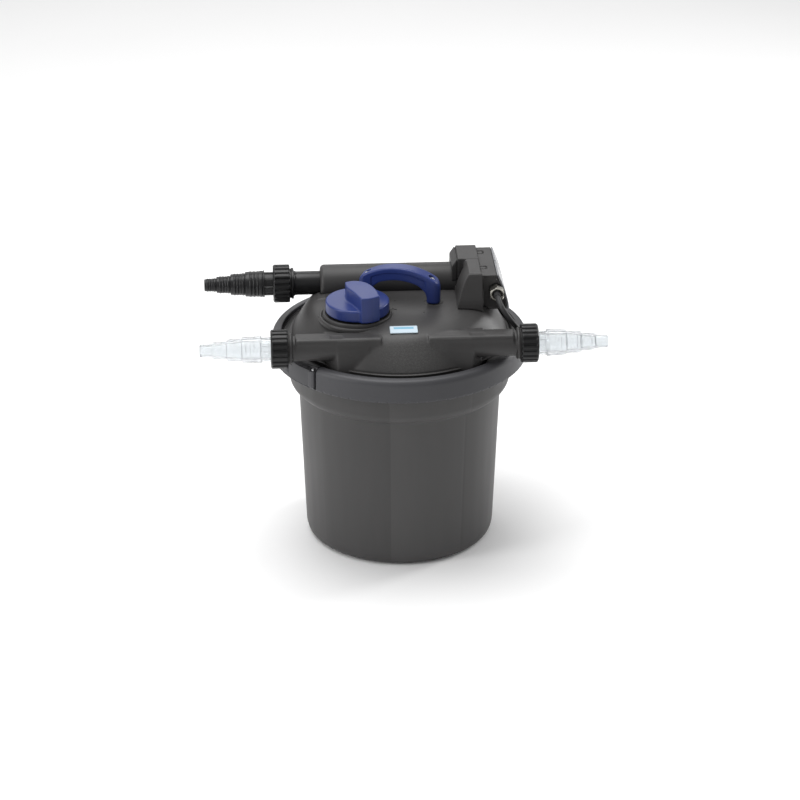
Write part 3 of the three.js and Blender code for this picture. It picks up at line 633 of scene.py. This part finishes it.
low, cell = (-1, 165.4, 288.4), (1.35, 0.8, 0.8)
field = ring_field(*grid(low, (RING_R * TURN + 2, 194, 327), cell))
points, faces = surface(field, low, cell)
build("ring_band", arc_mapped(points, split_at), faces[:, ::-1], ring_look, ["clamp_ring"], "ring_plastic")


def latch_field(s, r, z):
    reach = 24 * math.pi / 180 * RING_R
    arm = block(s, r, z, (-reach, 186.8, 293), (0, 190, 320), 0.5)
    tip = block(s, r, z, (-reach, 186.8, 297), (-reach + 5, 192.8, 316), 1.6)
    bar = block(s, r, z, (-6.4, 186.8, 293), (4.4, 191.8, 320), 2)
    barrel = common([np.hypot(s, r - RING_R) - 4.6, between(z, 293, 320)], 0.9)
    body = joined(joined(joined(arm, tip, 2.4), barrel, 0.5), bar, 0.5)
    for i in range(3):
        middle = -reach + 16 + i * 4
        body = carved(body, block(s, r, z, (middle - 0.8, 189.3, 298), (middle + 0.8, 195, 315), 0.4), 0.4)
    return carved(body, common([np.hypot(s, r - RING_R) - 2.3, between(z, 280, 330)], 0.1), 0.2)


low, cell = (-80.5, 181, 291.2), (0.7, 0.55, 0.7)
field = latch_field(*grid(low, (7, 195, 322), cell))
points, faces = surface(field, low, cell)
build("latch_bar", arc_mapped(points, LATCH_AT), faces[:, ::-1], ring_look, ["latch_lever"],
      "ring_plastic", "latch")
pivot = [RING_R * math.cos(math.radians(LATCH_AT)), RING_R * math.sin(math.radians(LATCH_AT)), 0]
points, faces = turned(filleted([(0.1, 291.4), (2, 291.4, 0.6), (2, 322.6, 0.6), (0.1, 322.6)], 0.4), 20)
build("latch_rivet", points + pivot, faces, steel_look, ["latch_pin"], "steel", sharp=40)

# ---- hose connections ----
NUT_RIBS = 20
nut_section = filleted([(22.7, -10.6), (27.2, -10.6), (28.5, -9.4), (28.5, 10.6), (28.5, 12.6), (26.6, 14.4),
                        (18.9, 14.4), (18.9, 9.8), (22.7, 9.8)], 0.7, 3)


def nut_steps(r0, h0, r1, h1):
    return max(1, int(math.hypot(r1 - r0, h1 - h0) / 1.5)) if min(r0, r1) > 26 else 1


nut_long = subdivided(nut_section, nut_steps)


def nut_shape(angles, r, h):
    if r < 25:
        return np.full(len(angles), r)
    across = np.abs((angles * NUT_RIBS / TURN) % 1 - 0.5) * 2
    groove = np.clip((across - 0.5) / 0.26, 0, 1)
    groove = groove * groove * (3 - 2 * groove)
    ends = np.clip((12.2 - h) / 1.6, 0, 1)
    crown = 0.35 * (1 - np.clip(across / 0.6, 0, 1) ** 2)
    return r - 1.9 * groove * ends - 0.35 + crown


STEPS = ((19, 27), (16, 22), (12.5, 21), (9.5, 18))
tail_section = [(13, 3.5), (21.9, 3.5, 0.8), (21.9, 9.5, 0.6), (18.3, 9.5, 0.3), (18.3, 27.4, 0.2),
                (20.4, 27.4, 0.4), (20.4, 29, 0.4)]
reach = 29.4
for r, length in STEPS:
    tail_section += [(r + 0.1, reach, 0.5), (r + 0.8, reach + 1.6, 0.7), (r + 0.8, reach + 3.4, 0.6)]
    for share in (0.26, 0.46, 0.66):
        x = reach + share * length
        tail_section += [(r - 0.1, x - 0.6, 0.5), (r + 0.45, x + 0.5, 0.5), (r + 0.45, x + 1.6, 0.5),
                         (r - 0.25, x + 2.4, 0.5)]
    reach += length
    tail_section.append((r - 0.5, reach - 0.5, 1))
tail_section += [(7.1, 117.4, 0.5), (7.2, 99.4, 0.5), (13, 55.4, 2)]
tail_section = filleted(tail_section, 0.4, 2)


def tail_shape(angles, r, h):
    if not (9.6 < h < 27.3 and r > 18):
        return np.full(len(angles), r)
    fin = np.abs((angles * 8 / TURN) % 1 - 0.5) * 2
    return np.where(fin > 0.72, r, r - 1.1)


def tail_steps(r0, h0, r1, h1):
    return 8 if r0 > 18 and r1 > 18 and abs(h1 - h0) > 10 else 1


tail_long = subdivided(tail_section, tail_steps)
washer_section = filleted([(14, 0.3), (21.9, 0.3), (21.9, 3.2), (14, 3.2)], 0.7, 3)
for side_name, side, x, y, z, look, slot in (
        ("left", -1, -180, SOCKET_Y, SOCKET_Z, clear_look, "clear_plastic"),
        ("right", 1, 180, SOCKET_Y, SOCKET_Z, clear_look, "clear_plastic"),
        ("rear", -1, -172, TUBE_Y, TUBE_Z, black_look, "black_plastic")):
    points, faces = turned(nut_long, 240, nut_shape)
    build(f"nut_{side_name}", along_x(points, y, z, side, x), faces, black_look, [f"union_nut_{side_name}"],
          "black_plastic", f"nut_{side_name}", sharp=35)
    points, faces = turned(tail_long, 128, tail_shape)
    build(f"tail_{side_name}", along_x(points, y, z, side, x), faces, look, [f"hose_tail_{side_name}"], slot,
          f"tail_{side_name}", sharp=35)
    points, faces = turned(washer_section, 64)
    build(f"washer_{side_name}", along_x(points, y, z, side, x), faces, rubber_look,
          [f"flat_washer_{side_name}"], "rubber", f"tail_{side_name}", sharp=40)

# ---- lamp tube ----
shoulder = [(20.5 + 6.5 * math.sin(a), -109.5 - 6.5 * math.cos(a), 0) for a in np.linspace(0, math.pi / 2, 8)]
tube_section = filleted([(17.75, -116, 0.3), *shoulder, (27, 103.8, 0.8), (23.5, 103.8, 0.5),
                         (23.5, -110, 3), (17.75, -112, 0.3)], 1, 6)
points, faces = turned(tube_section, 128)
build("lamp_tube_shell", along_x(points, TUBE_Y, TUBE_Z), faces, lid_look, ["uvc_tube"], "lid_plastic",
      sharp=35)
pipe_section = filleted([(14, -172), (22, -172), (22, -159.4), (23.2, -159), (23.2, -155.8),
                         (18.8, -155.2, 2), (17.7, -152, 2), (17.7, -112), (14, -112)], 0.5, 3)
points, faces = turned(pipe_section, 96)
build("lamp_tube_inlet", along_x(points, TUBE_Y, TUBE_Z), faces, black_look, (), "black_plastic", sharp=35)

# ---- control box ----
HEAD_FRONT = filleted([(-31, 424, 3), (-39.5, 400, 12), (-46, 384, 10), (-48, 366), (30, 366), (30, 424)], 1)
HEAD_FLARE = curve([(102, 424, 0), (96, 414.3, 0), (91.6, 404.5, 0), (88, 394.4, 0), (85.6, 386, 0),
                    (84.1, 379, 0), (84, 366, 0)], 3)[:, :2].tolist() + [(119.5, 366), (119.5, 424)]
HEAD_BACK = [(80, 352), (119.5, 352), (119.5, 424), (88, 424), (80, 412)]
COVER = [(119.8, 366), (157.6, 366), (156.6, 376), (149.8, 400), (141.7, 420.5), (119.8, 420.5)]
PANEL = filleted([(142.1, 420.5, 0.6), (145, 420.5, 2), (153, 401, 14), (160, 376, 4), (161, 366, 1),
                  (158, 366), (157, 376, 4), (150.2, 400, 14)], 0.5)


def above_dome(x, y, z):
    return about_axis(x, y, z, DOME) - 0.6


def head_field(x, y, z):
    front = common([outline(y, z, HEAD_FRONT), outline(x, z, HEAD_FLARE)], 1.6)
    rim = common([outline(y, z, HEAD_FRONT), np.abs(outline(x, z, HEAD_FLARE)) - 1.0, y + 27], 0.5)
    body = joined(front, common([outline(x, z, HEAD_BACK), between(y, 28, 84)], 1.8), 0.8)
    body = joined(body, rim, 0.8)
    rib = common([outline(x, z, [(86.5, 366), (100, 366), (100.8, 423), (99, 423)]),
                  between(y, 22.5, 25)], 0.6)
    body = carved(body, block(x, y, z, (80, 19, 382), (97, 28.5, 440), 1), 0.8)
    body = joined(body, rib, 0.6)
    body = carved(body, block(x, y, z, (105, -30, 383), (135, 80, 420.4), 2))
    body = carved(body, drum(y, z, x, TUBE_Y, TUBE_Z, PORT_R, 105, 135))
    body = carved(body, drum(y, z, x, TUBE_Y, TUBE_Z, TUBE_ROOM_R, 60, 106))
    edge = common([outline(x, z, HEAD_BACK), between(y, 28, 84)], 1.8)
    body = carved(body, common([between(x, 87.2, 89), 26 - y, -(edge + 1.6)], 0.2), 0.3)
    return carved(body, above_dome(x, y, z), 0.3)


def cover_field(x, y, z):
    side = outline(x, z, COVER)
    body = common([side, between(y, -29.5, 82)], 1.2)
    body = carved(body, common([side + 3.2, between(y, -26, 79)], 1))
    body = carved(body, common([side + 2.4, between(y, -40, -28.2)], 0.6), 0.5)
    for middle in (2, 62):
        body = carved(body, block(x, y, z, (119, middle - 5.8, 418.4), (130, middle + 5.8, 430), 0.8), 0.3)
        catch = block(x, y, z, (119.9, middle - 4.2, 413), (128.2, middle + 4.2, 420.2), 0.7)
        body = joined(body, catch, 0.3)
    body = carved(body, drum(x, z, y, GLAND_X, GLAND_Z, 9.8, -40, -26))
    return carved(body, above_dome(x, y, z), 0.3)


def panel_field(x, y, z):
    body = common([outline(x, z, PANEL), between(y, -29.5, 82)], 0.8)
    groove = common([np.abs(y - 27) - 0.9, -(outline(x, z, PANEL) + 1.6)], 0.2)
    body = carved(body, groove, 0.4)
    return carved(body, above_dome(x, y, z), 0.3)


def ballast_field(x, y, z):
    body = block(x, y, z, (123, -14, 384), (136, 24, 412), 1.2)
    ribs = common([np.abs((y + 20) % 5 - 2.5) - 0.8, between(z, 388, 408), 126 - x], 0.4)
    body = carved(body, common([ribs, -(x - 134.9)], 0.3), 0.3)
    return carved(body, block(x, y, z, (125, 18, 409), (134, 22, 415), 0.5), 0.3)


for name, maker, low, high, cell, look, node, slot in (
        ("control_housing", head_field, (77, -51, 349), (122, 87, 427), 0.9, lid_look, "head_housing",
         "lid_plastic"),
        ("control_cover", cover_field, (117.5, -32, 363), (160, 85, 423), 0.85, lid_look, "head_cover",
         "lid_plastic"),
        ("control_end", panel_field, (139, -32, 363), (164, 85, 423.5), 0.8, end_panel_highlight_look, "head_end_panel",
         "panel_plastic"),
        ("ballast_unit", ballast_field, (121, -16, 382), (138, 26, 414), 0.7, case_look, "ballast",
         "ballast_case")):
    field = maker(*grid(low, high, (cell,) * 3))
    build(name, *surface(field, low, (cell,) * 3), look, [node], slot)

front_plate = filleted([(122.6, 376), (153.4, 376), (147.2, 399), (140.2, 417.6), (122.6, 417.6)], 1.5)
points, faces = prism(front_plate, -28.1, -27)
build("control_face", points[:, [0, 2, 1]], faces, black_look, (), "black_plastic", sharp=30)


# ---- cable gland ----
def hexagon(across):
    def shape(angles, r, _):
        away = (angles + math.pi / 6) % (math.pi / 3) - math.pi / 6
        return np.minimum(r, across / 2 / np.cos(away)) if r > across / 2 - 1.5 else np.full(len(angles), r)
    return shape


for name, node, across, bore, start, end in (("gland_base", "gland_body", 18, 4.4, -29.8, -36),
                                             ("gland_cap", "gland_nut", 20, 6.2, -36.3, -48)):
    r = across / math.sqrt(3)
    chamfer = 0.9
    section = filleted([(bore, start), (across / 2, start), (r, start - chamfer), (r, end + chamfer),
                        (across / 2, end), (bore + 1.4, end), (bore, end + 1.2)], 0.25, 2)
    points, faces = turned(section, 120, hexagon(across))
    build(name, along_y(points, GLAND_X, GLAND_Z), faces, nickel_look, [node], "nickel", sharp=30)

# ---- selector knob ----
GRIP = np.vstack([
    curve([(-17.5, 15.5, 0), (-6, 19.5, 0), (8, 16, 0), (19.5, 3, 0), (27.2, -19, 0),
           (30.4, -41.6, 0)], 2)[:-1],
    curve([(30.4, -41.6, 0), (17, -48.8, 0), (3.5, -50.6, 0)], 2)[:-1],
    curve([(3.5, -50.6, 0), (-5.6, -25.9, 0), (-15.6, -3, 0), (-17.5, 15.5, 0)], 2)[:-1]])[:, :2]


def knob_field(x, y, z):
    px, py = x - KNOB_X, y - KNOB_Y
    disc = drum(px, py, z, 0, 0, 46.8, 380, 397.6, 2.6)
    grip = common([outline(px, py, GRIP), between(z, 380, 419.5)], 1.6)
    body = joined(disc, grip, 2.6)
    hollow = common([np.hypot(px, py) - 42, between(z, 370, 392)], 2)
    boss = np.hypot(px, py) - 12
    return carved(body, common([hollow, -boss], 1), 0.6)


low, cell = (-115, -108, 377), (0.85,) * 3
field = knob_field(*grid(low, (-15, -4, 422), cell))
build("knob_moulding", *surface(field, low, cell), blue_look, ["selector_knob"], "blue_plastic",
      "knob_assembly")


# ---- pull handle ----
def handle_field(u, v, z):
    crown, centre = 102, 327
    sweep = np.linspace(56, -56, 17)
    inner = np.linspace(-30, 30, 9)
    profile = [(62.5, 377), (62.5, 400), (60.9, 406)]
    profile += [(a, centre + math.sqrt(crown ** 2 - a * a)) for a in sweep]
    profile += [(-60.9, 406), (-62.5, 400), (-62.5, 377), (-43, 377), (-43, 388), (-40, 394.5)]
    profile += [(a, centre + math.sqrt((crown - 20) ** 2 - a * a)) for a in inner]
    profile += [(40, 394.5), (43, 388), (43, 377)]
    arch = outline(u, z, filleted(profile, 3))
    plan = np.hypot(np.maximum(np.abs(u) - LEG_U, 0), v) - 11
    body = common([arch, plan], 3)
    reach = np.hypot(u, z - centre)
    side = common([reach - 94, np.abs(u) - 41.5, 9.7 - np.abs(v)], 0.6)
    body = carved(body, side, 1)
    for place in (-SCREW_U, SCREW_U):
        body = carved(body, common([np.hypot(u - place, v) - 4.6, 408.6 - z], 0.2), 0.8)
    return body


low, cell = (-65, -13, 374.6), (0.75,) * 3
field = handle_field(*grid(low, (65, 13, 431), cell))
points, faces = surface(field, low, cell)
HANDLE = Matrix.Translation(Vector((0, HANDLE_Y, 0)) * MM) @ Matrix.Rotation(HANDLE_TURN, 4, "Z")
build("handle_moulding", points, faces, blue_look, ["pull_handle"], "blue_plastic", "pull_assembly",
      place=HANDLE)


def screw_field(x, y, z):
    head = common([np.hypot(x, y) - 4.2, np.sqrt(x * x + y * y + (z - 404.6) ** 2) - 10, 408.9 - z], 0.25)
    cross = np.minimum(common([np.abs(x) - 2.6, np.abs(y) - 0.5], 0.1),
                       common([np.abs(y) - 2.6, np.abs(x) - 0.5], 0.1))
    return carved(head, common([cross, 412.6 - z], 0.1), 0.2)


low, cell = (-5, -5, 408), (0.3,) * 3
screw_points, screw_faces = surface(screw_field(*grid(low, (5, 5, 416), cell)), low, cell)
for side_name, side in (("left", -1), ("right", 1)):
    build(f"screw_{side_name}", screw_points + (side * SCREW_U, 0, 0), screw_faces, steel_look,
          [f"handle_screw_{side_name}"], "steel", "pull_assembly", place=HANDLE)
    rod = filleted([(0.2, 46.4), (4.6, 46.4), (5, 47.4), (5, 52), (4.4, 52.4), (4.4, 53.6), (5, 54),
                    (5, 375.4), (4.4, 376.6), (0.2, 376.6)], 0.3, 2)
    points, faces = turned(rod, 40)
    build(f"rod_{side_name}", points + (side * LEG_U, 0, 0), faces, steel_look, [f"pull_rod_{side_name}"],
          "steel", "pull_assembly", sharp=40, place=HANDLE)
    seal = filleted([(5.4, 362), (9, 362), (9, 368), (7.6, 368), (7.2, 365.6), (6.4, 365.6), (6, 368),
                     (5.4, 368)], 0.4)
    points, faces = turned(seal, 40)
    build(f"lip_seal_{side_name}", points + (side * LEG_U, 0, 0), faces, rubber_look,
          [f"rod_seal_{side_name}"], "rubber", sharp=40, place=HANDLE)

# ---- foams ----
FOAM_LOW, FOAM_HIGH, FOAMS = 46.3, 268, 4
FOAM_INNER, FOAM_OUTER = 60, 125
foam_pitch = (FOAM_HIGH - FOAM_LOW) / FOAMS
for i in range(FOAMS):
    bottom = FOAM_LOW + i * foam_pitch
    top = bottom + foam_pitch - 0.3
    rise = np.linspace(bottom, top, 10)
    outer_wall = [(FOAM_OUTER - 0.6 * (k % 2), h) for k, h in enumerate(rise[1:-1])]
    inner_wall = [(FOAM_INNER + 0.5 * (k % 2), h) for k, h in enumerate(rise[-2:0:-1])]
    section = filleted([(FOAM_INNER, bottom, 2), (FOAM_OUTER, bottom, 3), *outer_wall,
                        (FOAM_OUTER, top, 3), (FOAM_INNER, top, 2), *inner_wall], 1, 2)
    seed = np.random.default_rng(20 + i)
    phase = seed.uniform(0, TURN, 5)

    def foam_shape(angles, r, h, phase=phase):
        wave = sum(np.sin(angles * (5 + 7 * k) + phase[k] + h * 0.2) for k in range(5)) / 5
        return r - 0.5 - 0.5 * wave if r > 90 else r + 0.4 + 0.4 * wave

    foam = build(f"foam_block_{i + 1}", *turned(section, 180, foam_shape), foam_look,
                 [f"foam_ring_{i + 1}"], "foam", sharp=60)
    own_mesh(foam)

# ---- label ----
corners = filleted([(-20, -9), (20, -9), (20, 9), (-20, 9)], 1.6)
inner = corners * (0.965, 0.93)
count = len(corners)
points = np.vstack([np.column_stack([ring, np.full(count, h)]) for ring, h in (
    (corners, -0.6), (corners, 0.45), (corners * 0.992, 0.6), (inner, 0.6), (inner * 0.992, 0.4))])
faces = [[k * count + i, k * count + (i + 1) % count, (k + 1) * count + (i + 1) % count, (k + 1) * count + i]
         for k in range(4) for i in range(count)]
faces += [list(range(count))[::-1], list(range(4 * count, 5 * count))]
low_corner, high_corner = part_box("label_plate")
middle = (low_corner + high_corner) / 2
build("label_badge", points, faces, label_look, ["label_plate"], "label", sharp=30,
      place=Matrix.Translation(middle) @ Matrix.Rotation(math.radians(9.5), 4, "X"))

# ---- CAD nodes shown as they are ----
for names, look in (
        (("lid_gasket", "sleeve_seal"), rubber_look), (("quartz_sleeve",), quartz_look),
        (("uvc_lamp", "lamp_holder"), lamp_look),
        (("sleeve_retainer", "knob_spindle", "valve_rotor", "valve_chamber", "press_plate", "foam_head_plate",
          "centre_tube"), black_look)):
    for name in names:
        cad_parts[name].data.materials.clear()
        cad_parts[name].data.materials.append(look.material)

# ---- floor and light ----
floor_look = Look("floor", tone(248, 248, 248), 0.9, mottle=0.004, scale=3, grain=0.0)
floor_mesh = bpy.data.meshes.new("floor")
floor_mesh.from_pydata([(-12, -12, 0), (12, -12, 0), (12, 12, 0), (-12, 12, 0)], [], [(0, 1, 2, 3)])
floor_mesh.materials.append(floor_look.material)
floor = bpy.data.objects.new("floor", floor_mesh)
floor.location.z = -0.0003
bpy.context.scene.collection.objects.link(floor)

world = bpy.context.scene.world or bpy.data.worlds.new("world")
bpy.context.scene.world = world
world.use_nodes = True
world.node_tree.nodes["Background"].inputs[0].default_value = (1, 1, 1, 1)
world.node_tree.nodes["Background"].inputs[1].default_value = 0.46


def softbox(name, place, target, size, power):
    light = bpy.data.objects.new(name, bpy.data.lights.new(name, "AREA"))
    light.data.shape = "RECTANGLE"
    light.data.size, light.data.size_y = size
    light.data.energy = power
    light.location = place
    light.rotation_euler = (Vector(target) - Vector(place)).to_track_quat("-Z", "Y").to_euler()
    bpy.context.scene.collection.objects.link(light)


softbox("top", (-0.4, 0.3, 2.6), (0, 0, 0.3), (2.2, 1.8), 57)
softbox("back", (-0.5, 3.2, 1.9), (0, 0, 0.35), (3.0, 1.0), 15)
softbox("left", (-2.3, -0.9, 1.2), (0, 0, 0.3), (0.8, 1.6), 24)
softbox("right", (2.2, 1.2, 1.0), (0, 0, 0.25), (0.6, 1.8), 32)
